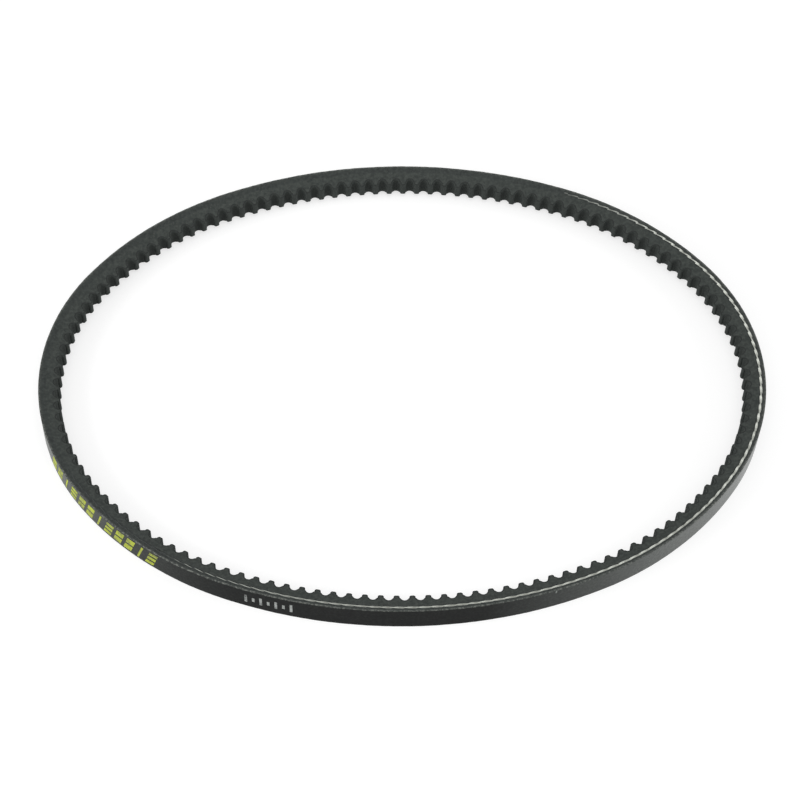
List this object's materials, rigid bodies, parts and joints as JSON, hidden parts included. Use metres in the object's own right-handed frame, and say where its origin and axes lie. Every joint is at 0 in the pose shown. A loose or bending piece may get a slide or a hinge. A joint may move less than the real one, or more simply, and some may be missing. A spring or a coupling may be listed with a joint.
{
  "type": "v-belt",
  "caption": "Endless raw-edge cogged V-belt lying as a relaxed oval loop, with bonded plies, a helical tensile cord that surfaces on the flank, and moulded inner cogs.",
  "frame": {"origin": "middle of the loop, halfway across the belt's width", "axes": "+Z along the axis of the loop, +X along the oval's long axis"},
  "size_m": [0.255, 0.1942, 0.01],
  "materials": {
    "back_fabric": "black rubberised fabric with a satin moulded face",
    "tension_rubber": "cut rubber, matt, with short fibre flecks",
    "cushion_gum": "cut gum rubber, dark and matt",
    "tensile_cord": "twisted cream polyester cord",
    "cog_rubber": "cut fibre-loaded rubber, greenish grey and matt",
    "cog_fabric": "black rubberised fabric facing",
    "print_ink": "yellow-green transfer film",
    "stamp_ink": "thin white ink"
  },
  "bodies": {
    "root": {"back_fabric": "back_fabric", "overcord": "tension_rubber", "upper_cushion": "cushion_gum", "tensile_cord": "tensile_cord", "lower_cushion": "cushion_gum", "undercord": "cog_rubber", "cog_facing": "cog_fabric", "colour_print": "print_ink", "white_stamp": "stamp_ink"}
  },
  "joints": []
}
